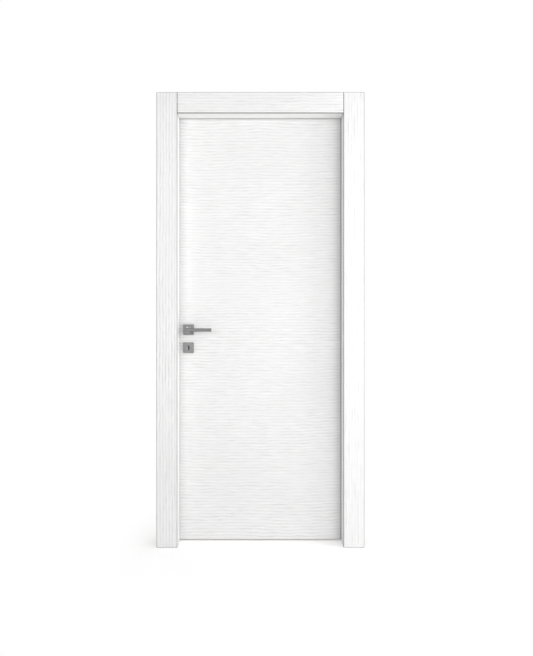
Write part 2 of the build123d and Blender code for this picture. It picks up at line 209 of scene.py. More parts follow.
# tiny pits and slow swells that every moulded or lacquered surface has
def buildFineTooth():
    group, given, made = startGroup(
        "fineTooth", {"Position": None, "Grain Size": 0.0016, "Swell Size": 0.03}, ["Tooth", "Swell"]
    )
    grain = addMath(group, "DIVIDE", 1.0, given["Grain Size"])
    swell = addMath(group, "DIVIDE", 1.0, given["Swell Size"])
    group.links.new(addNoise(group, given["Position"], grain, 2.0, 0.6), made["Tooth"])
    group.links.new(addNoise(group, given["Position"], swell, 1.0), made["Swell"])
    return group


# fine lines left by satin brushing, along X or upright
def buildSatinBrush():
    group, given, made = startGroup(
        "satinBrush",
        {"Position": None, "Upright": 0.0, "Line Width": 0.0004, "Smooth": 0.3, "Rough": 0.4},
        ["Lines", "Roughness"],
    )
    squeeze = 0.04                                      # lines are 25 times longer than wide
    x, y, z = addSplit(group, given["Position"])
    level = addMath(group, "SUBTRACT", 1.0, given["Upright"])
    scaleX = addMath(group, "MULTIPLY_ADD", level, squeeze - 1.0, 1.0)
    scaleZ = addMath(group, "MULTIPLY_ADD", given["Upright"], squeeze - 1.0, 1.0)
    squeezedX = addMath(group, "MULTIPLY", x, scaleX)
    squeezedZ = addMath(group, "MULTIPLY", z, scaleZ)
    lineSpace = addJoin(group, squeezedX, y, squeezedZ)
    lines = addNoise(group, lineSpace, addMath(group, "DIVIDE", 1.0, given["Line Width"]), 2.0, 0.7)
    group.links.new(lines, made["Lines"])
    roughness = addRange(group, lines, 0.3, 0.7, given["Smooth"], given["Rough"], "LINEAR")
    group.links.new(roughness, made["Roughness"])
    return group


# everything past a plane, with a slightly uneven border: raw backs, edging and joints
def buildRaggedBorder():
    group, given, made = startGroup(
        "raggedBorder", {"Position": None, "Depth": 0.0, "From": 0.0, "Unevenness": 0.0006}, ["Mask"]
    )
    raggedScale = 160.0
    ragged = addNoise(group, given["Position"], raggedScale)
    jitter = addMath(group, "MULTIPLY", addMath(group, "SUBTRACT", ragged, 0.5), given["Unevenness"])
    past = addMath(group, "SUBTRACT", addMath(group, "ADD", given["Depth"], jitter), given["From"])
    group.links.new(addMath(group, "GREATER_THAN", past, 0.0), made["Mask"])
    return group


woodPores = buildWoodPores()
fineTooth = buildFineTooth()
satinBrush = buildSatinBrush()
raggedBorder = buildRaggedBorder()
print("shader groups built")


def startMaterial(name):
    material = bpy.data.materials.new(name)
    material.use_nodes = True
    tree = material.node_tree
    coordinates = tree.nodes.new("ShaderNodeTexCoord")
    return material, tree, tree.nodes["Principled BSDF"], coordinates.outputs["Object"]


def readSurfaceMark(tree, name):
    return addNode(tree, "ShaderNodeAttribute", attribute_name=name).outputs["Fac"]


# embossed white film of the leaf and casings, over fibreboard
laminate = {
    "light": (0.880, 0.880, 0.879, 1.0),
    "shade": (0.845, 0.845, 0.844, 1.0),    # where the print clouds over
    "crest": (0.995, 0.995, 0.993, 1.0),
    "groove": (0.670, 0.670, 0.666, 1.0),
    "pore": (0.810, 0.810, 0.807, 1.0),
    "paintedEdgeShade": (0.140, 0.140, 0.138, 1.0),    # painted shade along the edges
    "cloudRange": (0.3, 0.7),
    "poreWidth": 0.0016,
    "poreStrength": 0.75,
    "grooveBreaks": 0.70,                   # how far the grooves fade out between dashes
    "leafDashes": 6.5,                      # length of the dashes, in their widths
    "casingDashes": 5.0,
    "boardLight": (0.43, 0.31, 0.19, 1.0),
    "boardDark": (0.35, 0.24, 0.145, 1.0),
    "filmEnd": 0.0004,                      # how far the film stops short of a casing's back
    "roughness": 0.45,
    "grooveRoughness": 0.57,
    "toothShare": 0.25,
    "poreDepth": 0.00012,
}


def makeLaminate(name, upright, dashes, backFacing=None, backAt=0.0):
    material, tree, shader, position = startMaterial(name)
    grain = useGroup(tree, woodPores, {
        "Position": position, "Upright": upright,
        "Pore Width": laminate["poreWidth"], "Stretch": dashes,
    })
    tooth = useGroup(tree, fineTooth, {"Position": position})
    grainMark = readSurfaceMark(tree, "grain")
    groove = addMath(tree, "MAXIMUM", grainMark, 0.0)
    crest = addMath(tree, "MAXIMUM", addMath(tree, "MULTIPLY", grainMark, -1.0), 0.0)
    # painted shade along the edges, seals and joints, carried by the board's mesh
    paintedEdgeShade = readSurfaceMark(tree, "paintedEdgeShade")
    cloud = addRange(tree, grain["Cloud"], *laminate["cloudRange"], 0.0, 1.0)
    color = addColorMix(tree, cloud, laminate["shade"], laminate["light"])
    filled = addMath(tree, "SUBTRACT", 1.0, grain["Pores"])
    pore = addMath(tree, "MULTIPLY", filled, laminate["poreStrength"])
    color = addColorMix(tree, pore, color, laminate["pore"])
    dash = addRange(tree, grain["Bands"], 0.0, 1.0, 1.0 - laminate["grooveBreaks"], 1.0)
    color = addColorMix(tree, addMath(tree, "MULTIPLY", crest, dash), color, laminate["crest"])
    color = addColorMix(tree, addMath(tree, "MULTIPLY", groove, dash), color, laminate["groove"])
    color = addColorMix(tree, paintedEdgeShade, color, laminate["paintedEdgeShade"])
    if backFacing is not None:
        depth = addMath(tree, "MULTIPLY", addSplit(tree, position)[1], backFacing)
        raw = useGroup(tree, raggedBorder, {
            "Position": position, "Depth": depth, "From": backAt * backFacing,
        })
        board = addColorMix(tree, tooth["Tooth"], laminate["boardDark"], laminate["boardLight"])
        color = addColorMix(tree, raw["Mask"], color, board)
    tree.links.new(color, shader.inputs["Base Color"])
    polish = addRange(tree, groove, 0.0, 1.0, laminate["roughness"], laminate["grooveRoughness"])
    tree.links.new(polish, shader.inputs["Roughness"])
    relief = addMath(tree, "MULTIPLY_ADD", tooth["Tooth"], laminate["toothShare"], grain["Pores"])
    addSurfaceBump(tree, shader, relief, laminate["poreDepth"])
    return material


# smooth white film of the jambs, raw on the side towards the wall
jambFinish = {
    "white": (0.900, 0.900, 0.898, 1.0),
    "worn": (0.875, 0.875, 0.872, 1.0),
    "boardLight": (0.49, 0.37, 0.25, 1.0),
    "boardDark": (0.34, 0.235, 0.145, 1.0),
    # the seam's grey also serves as the painted shade along the floor
    "seam": (0.16, 0.16, 0.155, 1.0),
    "mottle": (0.9, -0.4),                  # contrast and offset of the raw board's patches
    "filmEnd": 0.0006,                      # how far the film stops short of the wall side
    "seamHalfWidth": 0.0014,
    "seamUnevenness": 0.0003,
    "footHeight": 0.0024,                   # painted shade along the floor
    "footUnevenness": 0.0004,
    "smooth": 0.38,
    "rough": 0.45,
    "toothSize": 0.0012,
    "swellSize": 0.05,
    "toothDepth": 0.00006,
}


def makeJambFinish(name, axis, direction, wallSide):
    material, tree, shader, position = startMaterial(name)
    tooth = useGroup(tree, fineTooth, {
        "Position": position,
        "Grain Size": jambFinish["toothSize"], "Swell Size": jambFinish["swellSize"],
    })
    x, y, z = addSplit(tree, position)
    depth = addMath(tree, "MULTIPLY", {"X": x, "Z": z}[axis], direction)
    raw = useGroup(tree, raggedBorder, {
        "Position": position, "Depth": depth, "From": wallSide * direction - jambFinish["filmEnd"],
    })
    # the mitre runs where the distance out from the opening equals the height above it
    middleX = (hingeClearX + latchClearX) / 2
    halfClear = (hingeClearX - latchClearX) / 2
    fromMiddle = addMath(tree, "ABSOLUTE", addMath(tree, "SUBTRACT", x, middleX))
    outward = addMath(tree, "SUBTRACT", fromMiddle, halfClear)
    above = addMath(tree, "SUBTRACT", z, clearTop)
    offMitre = addMath(tree, "ABSOLUTE", addMath(tree, "SUBTRACT", outward, above))
    seam = useGroup(tree, raggedBorder, {
        "Position": position, "Depth": addMath(tree, "MULTIPLY", offMitre, -1.0),
        "From": -jambFinish["seamHalfWidth"], "Unevenness": jambFinish["seamUnevenness"],
    })
    # painted shade in a band along the floor, in the seam's grey
    foot = useGroup(tree, raggedBorder, {
        "Position": position, "Depth": addMath(tree, "MULTIPLY", z, -1.0),
        "From": -jambFinish["footHeight"], "Unevenness": jambFinish["footUnevenness"],
    })
    color = addColorMix(tree, tooth["Swell"], jambFinish["worn"], jambFinish["white"])
    color = addColorMix(tree, seam["Mask"], color, jambFinish["seam"])
    color = addColorMix(tree, foot["Mask"], color, jambFinish["seam"])
    patches = addMath(tree, "ADD", tooth["Tooth"], tooth["Swell"])
    mottle = addMath(tree, "MULTIPLY_ADD", patches, *jambFinish["mottle"])
    board = addColorMix(tree, mottle, jambFinish["boardDark"], jambFinish["boardLight"])
    tree.links.new(addColorMix(tree, raw["Mask"], color, board), shader.inputs["Base Color"])
    roughness = addRange(tree, tooth["Swell"], 0.2, 0.8, jambFinish["smooth"], jambFinish["rough"])
    tree.links.new(roughness, shader.inputs["Roughness"])
    addSurfaceBump(tree, shader, tooth["Tooth"], jambFinish["toothDepth"])
    return material


# softwood of the leaf's stiles and rails, with white edging on the two long edges
leafCore = {
    "spring": (0.66, 0.50, 0.31, 1.0),
    "late": (0.50, 0.33, 0.17, 1.0),
    "edging": (0.89, 0.89, 0.883, 1.0),
    "edgingThickness": 0.0012,
    "edgingUnevenness": 0.0002,
    "ringWidth": 0.0010,
    "ringStretch": 22.0,
    "poreStrength": 0.3,
    "woodRoughness": 0.62,
    "edgingRoughness": 0.42,
    "toothSize": 0.0012,
    "toothDepth": 0.00008,
}


def makeLeafCore(name, upright):
    material, tree, shader, position = startMaterial(name)
    halfWidth = (leafHigh.x - leafLow.x) / 2
    x = addSplit(tree, position)[0]
    fromMiddle = addMath(tree, "ABSOLUTE", addMath(tree, "SUBTRACT", x, leafMiddleX))
    edging = useGroup(tree, raggedBorder, {
        "Position": position, "Depth": fromMiddle,
        "From": halfWidth - leafCore["edgingThickness"], "Unevenness": leafCore["edgingUnevenness"],
    })
    rings = useGroup(tree, woodPores, {
        "Position": position, "Upright": upright,
        "Pore Width": leafCore["ringWidth"], "Stretch": leafCore["ringStretch"],
    })
    tooth = useGroup(tree, fineTooth, {"Position": position, "Grain Size": leafCore["toothSize"]})
    wood = addColorMix(tree, rings["Bands"], leafCore["late"], leafCore["spring"])
    pore = addMath(tree, "MULTIPLY", rings["Pores"], leafCore["poreStrength"])
    wood = addColorMix(tree, pore, wood, leafCore["spring"])
    color = addColorMix(tree, edging["Mask"], wood, leafCore["edging"])
    tree.links.new(color, shader.inputs["Base Color"])
    roughness = addRange(tree, edging["Mask"], 0.0, 1.0,
                         leafCore["woodRoughness"], leafCore["edgingRoughness"])
    tree.links.new(roughness, shader.inputs["Roughness"])
    addSurfaceBump(tree, shader, tooth["Tooth"], leafCore["toothDepth"])
    return material


# satin nickel of the levers and roses, satin steel of the hinges, lock and strike
metals = {
    "leverNickel": {"color": (0.200, 0.200, 0.199), "smooth": 0.34, "rough": 0.44, "upright": 0.0},
    # the rose and key rose share one nickel finish: the rose's copy is darker as painted shade, the
    # key rose's lighter as painted light
    "roseNickelPaintedShade": {"color": (0.216, 0.216, 0.215), "smooth": 0.36, "rough": 0.46, "upright": 1.0},
    "keyRoseNickelPaintedLight": {"color": (0.252, 0.252, 0.251), "smooth": 0.36, "rough": 0.46, "upright": 1.0},
    "polishedNickel": {"color": (0.96, 0.96, 0.95), "smooth": 0.12, "rough": 0.20, "upright": 0.0},
    "hingeSteel": {"color": (0.46, 0.46, 0.455), "smooth": 0.27, "rough": 0.38, "upright": 1.0},
    "lockSteel": {"color": (0.50, 0.50, 0.49), "smooth": 0.30, "rough": 0.42, "upright": 1.0},
    "screwSteel": {"color": (0.55, 0.55, 0.54), "smooth": 0.22, "rough": 0.34, "upright": 0.0},
}
metalSurface = {
    "tarnish": 0.92,            # how much of its brightness a tarnished patch keeps
    "tarnishSize": 0.02,
    "brushDepth": 0.00002,
}


def makeMetal(name, values):
    material, tree, shader, position = startMaterial(name)
    brush = useGroup(tree, satinBrush, {
        "Position": position, "Upright": values["upright"],
        "Smooth": values["smooth"], "Rough": values["rough"],
    })
    tooth = useGroup(tree, fineTooth, {
        "Position": position, "Swell Size": metalSurface["tarnishSize"],
    })
    bright = values["color"] + (1.0,)
    dull = tuple(metalSurface["tarnish"] * channel for channel in values["color"]) + (1.0,)
    tree.links.new(addColorMix(tree, tooth["Swell"], dull, bright), shader.inputs["Base Color"])
    tree.links.new(brush["Roughness"], shader.inputs["Roughness"])
    shader.inputs["Metallic"].default_value = 1.0
    addSurfaceBump(tree, shader, brush["Lines"], metalSurface["brushDepth"])
    return material


# pale rubber of the seals
sealRubber = {
    "dark": (0.60, 0.60, 0.59, 1.0),
    "pale": (0.68, 0.68, 0.67, 1.0),
    "smooth": 0.55,
    "rough": 0.70,
    "toothSize": 0.0008,
    "swellSize": 0.012,
    "toothDepth": 0.00005,
}


def makeSealRubber(values):
    material, tree, shader, position = startMaterial("sealRubber")
    tooth = useGroup(tree, fineTooth, {
        "Position": position, "Grain Size": values["toothSize"], "Swell Size": values["swellSize"],
    })
    color = addColorMix(tree, tooth["Swell"], values["dark"], values["pale"])
    tree.links.new(color, shader.inputs["Base Color"])
    roughness = addRange(tree, tooth["Tooth"], 0.3, 0.7, values["smooth"], values["rough"])
    tree.links.new(roughness, shader.inputs["Roughness"])
    addSurfaceBump(tree, shader, tooth["Tooth"], values["toothDepth"])
    return material


leafLaminate = makeLaminate("leafLaminate", 0.0, laminate["leafDashes"])
casingLaminates = {}
for face, backFacing, wallY in (("front", 1.0, frontWallY), ("back", -1.0, backWallY)):
    backAt = wallY - backFacing * laminate["filmEnd"]
    casingLaminates[face] = {
        "side": makeLaminate(f"{face}SideLaminate", 1.0, laminate["casingDashes"], backFacing, backAt),
        "head": makeLaminate(f"{face}HeadLaminate", 0.0, laminate["casingDashes"], backFacing, backAt),
    }
metal = {name: makeMetal(name, values) for name, values in metals.items()}


def dress(material, *names):
    for name in names:
        mesh = nodes[name].data
        mesh.materials.clear()
        mesh.materials.append(material)


dress(makeJambFinish("hingeJambFinish", "X", 1.0, jambHigh.x), "hinge_jamb")
dress(makeJambFinish("latchJambFinish", "X", -1.0, latchLow.x), "latch_jamb")
dress(makeJambFinish("headJambFinish", "Z", 1.0, headHigh.z), "head_jamb")
dress(makeLeafCore("uprightCore", 1.0), "hinge_stile", "latch_stile")
dress(makeLeafCore("levelCore", 0.0), "top_rail", "bottom_rail")
dress(makeSealRubber(sealRubber), "hinge_seal", "latch_seal", "head_seal")
dress(metal["leverNickel"], "front_lever", "back_lever")
dress(metal["roseNickelPaintedShade"], "front_rose", "back_rose")
dress(metal["keyRoseNickelPaintedLight"], "front_key_rose", "back_key_rose")
dress(metal["lockSteel"], "lock_case", "lock_faceplate", "latch_bolt", "dead_bolt", "strike_plate",
      "spindle")
for place in hingePlaces:
    for part in ("frame_half", "leaf_half", "pin"):
        dress(metal["hingeSteel"], f"{place}_hinge_{part}")
dress(leafLaminate, "front_skin", "back_skin")
for face, looks in casingLaminates.items():
    dress(looks["side"], f"{face}_casing_left", f"{face}_casing_right")
    dress(looks["head"], f"{face}_casing_head")
print("materials made:", len(bpy.data.materials))


# grooves and pale crests of the embossed film: wavy on the leaf, nearly straight on the casings
leafGrain = {
    "pitch": 0.0150,        # from groove to groove
    "grooveHalfWidth": 0.0037,
    "crestHalfWidth": 0.0034,
    "depth": 0.00035,
    "bend": 1.9,            # how far the grooves wander, in pitches
    "bendLength": 0.9,      # slow waves to a metre, along the grain
    "wobble": 0.30,
    "fadeLength": 18.0,     # how often a groove fades out, to a metre
    "evenness": 0.58,
    "patchiness": 0.50,
}
casingGrain = {
    "pitch": 0.01448,
    "grooveHalfWidth": 0.0038,
    "crestHalfWidth": 0.0032,
    "depth": 0.00035,
    "bend": 0.34,
    "bendLength": 0.8,
    "wobble": 0.28,
    "fadeLength": 12.0,
    # the grain prints fainter from the left casing to the head and the right casing: painted light,
    # where the lamps on the right wash it out
    "evenness": {"left": 0.70, "head": 0.50, "right": 0.30},
    "patchiness": 0.35,
}
# waves to a metre, along and across the grain, and how strong they are: for leaf and casings alike
grainWaves = {
    "slowAcross": 0.8,
    "middling": (2.6, 2.4),
    "middlingShare": 0.35,
    "quick": (15.0, 26.0),
    "patch": (1.7, 4.5),
    "patchBase": 0.4,
    "fadeStrength": 1.1,
}


def clamp(value):
    return min(1.0, max(0.0, value))


# 1 in the middle of a groove, -1 on the pale crest between two; each noise has a seed of its own
def grainAt(along, across, seed, look):
    def wave(scales, apart):
        return noise.noise((along * scales[0], across * scales[1], seed + apart))

    slow = wave((look["bendLength"], grainWaves["slowAcross"]), 0.0)
    drift = slow + grainWaves["middlingShare"] * wave(grainWaves["middling"], 3.0)
    wobble = look["wobble"] * wave(grainWaves["quick"], 7.0)
    place = across / look["pitch"] + look["bend"] * drift + wobble
    line = round(place)
    fromGroove = abs(place - line) * look["pitch"] / look["grooveHalfWidth"]
    fromCrest = (0.5 - abs(place - line)) * look["pitch"] / look["crestHalfWidth"]
    if min(fromGroove, fromCrest) >= 1.0:
        return 0.0
    isGroove = fromGroove < 1.0
    row = line * 3.7 if isGroove else math.floor(place) * 5.3 + 90.0       # keeps the rows unlike
    fade = noise.noise((along * look["fadeLength"], row, seed + 13.0))
    patch = grainWaves["patchBase"] + wave(grainWaves["patch"], 17.0)
    strength = clamp(look["evenness"] + grainWaves["fadeStrength"] * fade)
    strength *= clamp(1.0 - look["patchiness"] * patch)
    if isGroove:
        return strength * (1.0 - fromGroove ** 2) ** 2
    return -strength * (1.0 - fromCrest ** 2) ** 2


# how the boards' meshes are laid out
boardMesh = {
    "rimSteps": 4,              # lines in a rounded edge
    "stopRoom": 0.3,            # least distance to a line that has to be there, in steps
    "sideShadowCurve": 1.5,
    "belowRim": 0.0003,         # first ring of the sides, under the rounding
    "shadeFade": 0.0006,          # over which the painted edge shade ends on the sides
    "edgeTolerance": 1e-6,
}


def gridLines(size, step, lowRim, highRim, stops=()):
    low, high = lowRim, size - highRim
    count = math.ceil((high - low) / step)
    inner = [low + (high - low) * i / count for i in range(1, count)]
    room = boardMesh["stopRoom"] * step
    inner = [line for line in inner if all(abs(line - stop) > room for stop in stops)]
    lines = [low, *inner, high, *stops]
    rimSteps = boardMesh["rimSteps"]
    for i in range(1, rimSteps + 1):
        inset = 1.0 - math.sin(math.pi / 2 * i / rimSteps)      # crowds the lines at the edge
        if lowRim:
            lines.append(lowRim * inset)
        if highRim:
            lines.append(size - highRim * inset)
    return sorted(lines)


# how much painted shade the film gets, by the distance from each edge
def paintedShadeAt(x, z, size, paintedShade):
    distances = (x, size[0] - x, z, size[1] - z)
    return max(shadeBand[2] * clamp((shadeBand[0] - away) / shadeBand[1]) for away, shadeBand in zip(distances, paintedShade))


# how far into the rounding a line lies, and the rounding's radius
def rimDistance(place, size, lowRim, highRim):
    low = max(0.0, lowRim - place)
    high = max(0.0, place - (size - highRim))
    return (low, lowRim) if low > high else (high, highRim)


# one embossed board: a fine grid for its face, plain sides and a plain back
def makeBoard(name, corner, size, thickness, inward, isUpright, rims, paintedShade, look, steps, seed,
              cutouts=(), sideShadow=(1.0, 0.0)):
    sizeX, sizeZ = size
    stopsX = {edge for box in cutouts for edge in (box[0], box[2]) if 0 < edge < sizeX}
    stopsZ = {edge for box in cutouts for edge in (box[1], box[3]) if 0 < edge < sizeZ}
    for stops, length, (low, high), (lowRim, highRim) in ((stopsX, sizeX, paintedShade[:2], rims[:2]),
                                                          (stopsZ, sizeZ, paintedShade[2:], rims[2:])):
        stops |= {place for place in (low[0], low[0] - low[1]) if place > lowRim}
        stops |= {length - place for place in (high[0], high[0] - high[1]) if place > highRim}
    linesX = gridLines(sizeX, steps[0], rims[0], rims[1], stopsX)
    linesZ = gridLines(sizeZ, steps[1], rims[2], rims[3], stopsZ)
    bm = bmesh.new()
    grainMark = bm.verts.layers.float.new("grain")
    paintedEdgeShadeMark = bm.verts.layers.float.new("paintedEdgeShade")
    grid = []
    for x in linesX:
        sinkX, radiusX = rimDistance(x, sizeX, rims[0], rims[1])
        column = []
        for z in linesZ:
            sinkZ, radiusZ = rimDistance(z, sizeZ, rims[2], rims[3])
            radius = max(radiusX if sinkX else 0.0, radiusZ if sinkZ else 0.0)
            reach = min(radius, math.hypot(sinkX, sinkZ))
            rounding = radius - math.sqrt(radius ** 2 - reach ** 2)
            worldX, worldZ = corner.x + x, corner.z + z
            along, across = (worldZ, worldX) if isUpright else (worldX, worldZ)
            # painted shade along the edges, and painted shadow along the high-x side, kept in the mesh
            # mark
            shadowed = sideShadow[1] * clamp(1.0 - (sizeX - x) / sideShadow[0]) ** boardMesh["sideShadowCurve"]
            paintedEdgeShade = max(paintedShadeAt(x, z, size, paintedShade), shadowed)
            grain = grainAt(along, across, seed, look) * (1.0 - (reach / radius if radius else 0.0))
            depth = rounding + look["depth"] * max(0.0, grain)
            vertex = bm.verts.new((worldX, corner.y + inward * depth, worldZ))
            vertex[grainMark] = grain
            vertex[paintedEdgeShadeMark] = paintedEdgeShade
            column.append(vertex)
        grid.append(column)
    for i in range(len(linesX) - 1):
        for j in range(len(linesZ) - 1):
            middleX = (linesX[i] + linesX[i + 1]) / 2
            middleZ = (linesZ[j] + linesZ[j + 1]) / 2
            if any(b[0] < middleX < b[2] and b[1] < middleZ < b[3] for b in cutouts):
                continue
            bm.faces.new((grid[i][j], grid[i + 1][j], grid[i + 1][j + 1], grid[i][j + 1]))
    loose = [vertex for vertex in bm.verts if not vertex.link_faces]
    bmesh.ops.delete(bm, geom=loose, context="VERTS")
    edges = [edge for edge in bm.edges if edge.is_boundary]
    shadeDepth = max(shadeBand[3] for shadeBand in paintedShade)
    belowRim, fadeEnd = max(rims) + boardMesh["belowRim"], shadeDepth + boardMesh["shadeFade"]
    for depth in sorted({belowRim, shadeDepth, fadeEnd, thickness}):
        made = bmesh.ops.extrude_edge_only(bm, edges=edges)["geom"]
        edges = [part for part in made if isinstance(part, bmesh.types.BMEdge) and part.is_boundary]
        for vertex in {vertex for edge in edges for vertex in edge.verts}:
            x, z = vertex.co.x - corner.x, vertex.co.z - corner.z
            # the sides take the painted edge shade down to its depth
            sideShades = [shadeBand[2] for away, shadeBand in zip((x, sizeX - x, z, sizeZ - z), paintedShade)
                      if away < boardMesh["edgeTolerance"] and depth <= shadeBand[3]]
            vertex.co.y = corner.y + inward * depth
            vertex[grainMark] = 0.0
            vertex[paintedEdgeShadeMark] = max(sideShades, default=0.0)
    bmesh.ops.triangle_fill(bm, edges=edges, use_dissolve=False)
    bmesh.ops.recalc_face_normals(bm, faces=bm.faces[:])
    return finishMesh(bm, name)


def finishMesh(bm, name, sharpAngle=35.0):
    mesh = bpy.data.meshes.new(name)
    bm.to_mesh(mesh)
    bm.free()
    mesh.shade_smooth()
    mesh.set_sharp_from_angle(angle=math.radians(sharpAngle))
    piece = bpy.data.objects.new(name, mesh)
    bpy.context.scene.collection.objects.link(piece)
    return piece


def addBlock(bm, low, high):
    middle = (Vector(low) + Vector(high)) / 2
    corners = bmesh.ops.create_cube(bm, size=1.0)["verts"]
    bmesh.ops.scale(bm, vec=Vector(high) - Vector(low), verts=corners)
    bmesh.ops.translate(bm, vec=middle, verts=corners)


# leaf faces, with the holes that the lock and the hinges need
leafFace = {
    "thickness": 0.004,
    "rounding": 0.001,
    # width, fade, strength and depth of the painted shade at the seals and the ends
    "latchShade": (0.0105, 0.0025, 0.14, 0.0015),
    "hingeShade": (0.0105, 0.0025, 0.68, 0.0015),
    "headShade": (0.0085, 0.0020, 0.45, 0.0015),
    "endShade": (0.0012, 0.0008, 0.8, 0.0015),
    "hingeSideShadow": (0.052, 0.38),             # width and strength of the painted shadow along the hinge side
    "stepAlong": 0.017,
    "stepAcross": 0.0017,
    "frontSeed": 2.0,
    "backSeed": 31.0,
    "spindleHole": 0.020,
    "keyHoleWidth": 0.012,
    "keyHoleHeight": 0.028,
    "hingeSeatDepth": 0.0025,
    "hingeSeatPlay": 0.0002,
}


def makeLeafFaces(values):
    holes = []
    for node, width, height in (("front_rose", values["spindleHole"], values["spindleHole"]),
                                ("front_key_rose", values["keyHoleWidth"], values["keyHoleHeight"])):
        low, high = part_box(node)
        middle = (low + high) / 2 - leafLow
        holes.append((middle.x - width / 2, middle.z - height / 2,
                      middle.x + width / 2, middle.z + height / 2))
    size = (leafHigh.x - leafLow.x, leafHigh.z - leafLow.z)
    seats, play = [], values["hingeSeatPlay"]
    for place in hingePlaces:
        low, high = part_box(f"{place}_hinge_leaf_half")
        seats.append((size[0] - values["hingeSeatDepth"], low.z - play - leafLow.z,
                      math.inf, high.z + play - leafLow.z))
    rims = (values["rounding"],) * 4
    paintedShade = (values["latchShade"], values["hingeShade"], values["endShade"], values["headShade"])
    steps = (values["stepAlong"], values["stepAcross"])
    backCorner = Vector((leafLow.x, backSkinHigh.y, leafLow.z))
    sides = (
        ("frontLeafFace", "front_skin", leafLow, 1.0, values["frontSeed"], holes),
        ("backLeafFace", "back_skin", backCorner, -1.0, values["backSeed"], holes + seats),
    )
    for name, node, corner, inward, seed, cutouts in sides:
        face = makeBoard(name, corner, size, values["thickness"], inward, False, rims, paintedShade,
                         leafGrain, steps, seed, cutouts, values["hingeSideShadow"])
        face.data.materials.append(leafLaminate)
        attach(face, "leaf")
        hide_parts(node)


makeLeafFaces(leafFace)
print("leaf faces embossed")


# casings: boards with rounded edges and the tongue that enters the jamb
casing = {
    "thickness": 0.012,
    "rounding": 0.0025,
    "footRounding": 0.0008,
    # width, fade, strength and depth of the painted shade at the edges
    "paintedShade": (0.0027, 0.0007, 1.0, 0.0035),
    "innerShade": (0.0019, 0.0010, 1.0, 0.0075),
    "jointShade": (0.0024, 0.0008, 1.0, 0.0075),
    "footShade": (0.0024, 0.0008, 1.0, 0.0035),
    "stepAlong": 0.018,
    "stepAcross": 0.0015,
    "tongueThickness": 0.004,
    "tongueLength": 0.020,
    "tongueInset": {"front": 0.018, "back": 0.028},     # from the jamb's clear face
    "firstSeed": {"front": 50.0, "back": 90.0},
    "seedStep": 7.0,
}


def makeCasing(face, place, seed):
    node = f"{face}_casing_{place}"
    low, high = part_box(node)
    inward = 1.0 if face == "front" else -1.0
    faceY = low.y if face == "front" else high.y
    size = (high.x - low.x, high.z - low.z)
    isHead = place == "head"
    rounding = casing["rounding"]
    rims = (rounding, rounding, rounding if isHead else casing["footRounding"], rounding)
    outer, inner, foot = casing["paintedShade"], casing["innerShade"], casing["footShade"]
    paintedShade = {
        "left": (outer, inner, foot, outer),
        "right": (inner, outer, foot, outer),
        "head": (casing["jointShade"], casing["jointShade"], inner, outer),
    }[place]
    steps = (casing["stepAlong"], casing["stepAcross"])
    if not isHead:
        steps = steps[::-1]
    corner = Vector((low.x, faceY, low.z))
    name = f"{face}Casing{place.capitalize()}"
    look = {**casingGrain, "evenness": casingGrain["evenness"][place]}
    board = makeBoard(name, corner, size, casing["thickness"], inward, not isHead, rims, paintedShade,
                      look, steps, seed)
    inset, width = casing["tongueInset"][face], casing["tongueThickness"]
    rootY = faceY + inward * casing["thickness"]
    depths = sorted((rootY, rootY + inward * casing["tongueLength"]))
    if isHead:
        tongueLow = (low.x, depths[0], clearTop + inset)
        tongueHigh = (high.x, depths[1], clearTop + inset + width)
    else:
        start = hingeClearX + inset if place == "right" else latchClearX - inset - width
        tongueLow = (start, depths[0], low.z)
        tongueHigh = (start + width, depths[1], clearTop)
    bm = bmesh.new()
    bm.from_mesh(board.data)
    addBlock(bm, tongueLow, tongueHigh)
    bm.to_mesh(board.data)
    bm.free()
    board.data.materials.append(casingLaminates[face]["head" if isHead else "side"])
    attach(board, "frame")
    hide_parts(node)


for number, place in enumerate(("left", "head", "right")):
    for face, firstSeed in casing["firstSeed"].items():
        makeCasing(face, place, firstSeed + casing["seedStep"] * number)
print("casings embossed")


# polished collar round the hole of each lever rose
collar = {
    "bore": 0.0112,
    "outer": 0.0142,
    "rise": 0.0018,
    "sunk": 0.0008,
    "sides": 64,
    "profileSteps": 8,
    "sharpAngle": 50.0,
}


def makeCollar(name, rose, outward, values):
    low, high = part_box(rose)
    middle = (low + high) / 2
    faceY = low.y if outward < 0 else high.y
    width = values["outer"] - values["bore"]
    profile = [(values["bore"], -values["sunk"])]
    for i in range(values["profileSteps"] + 1):
        turn = math.pi * i / values["profileSteps"]
        profile.append((values["bore"] + width * (1 - math.cos(turn)) / 2,
                        values["rise"] * math.sin(turn)))
    profile.append((values["outer"], -values["sunk"]))
    bm = bmesh.new()
    rings = []
    for radius, rise in profile:
        turns = [2 * math.pi * i / values["sides"] for i in range(values["sides"])]
        rings.append([bm.verts.new((middle.x + radius * math.cos(a), faceY + outward * rise,
                                    middle.z + radius * math.sin(a))) for a in turns])
    for first, second in zip(rings, rings[1:] + rings[:1]):
        for i in range(values["sides"]):
            j = (i + 1) % values["sides"]
            bm.faces.new((first[i], first[j], second[j], second[i]))
    bmesh.ops.recalc_face_normals(bm, faces=bm.faces[:])
    piece = finishMesh(bm, name, values["sharpAngle"])
    piece.data.materials.append(metal["polishedNickel"])
    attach(piece, "leaf")


makeCollar("frontRoseCollar", "front_rose", -1.0, collar)
makeCollar("backRoseCollar", "back_rose", 1.0, collar)
print("rose collars turned")


# countersunk screws with a cross recess
screw = {
    "radius": 0.0042,
    "rise": 0.0003,
    "rim": 0.0004,
    "sides": 28,
    "crossArm": 0.0025,
    "crossHalfWidth": 0.00055,
    "crossDepth": 0.0016,
    "crossFloor": (0.55, 0.7),      # length and width at its floor, to those at the mouth
    "firstTurn": 0.4,
    "turnStep": 0.9,
    "sharpAngle": 30.0,
}


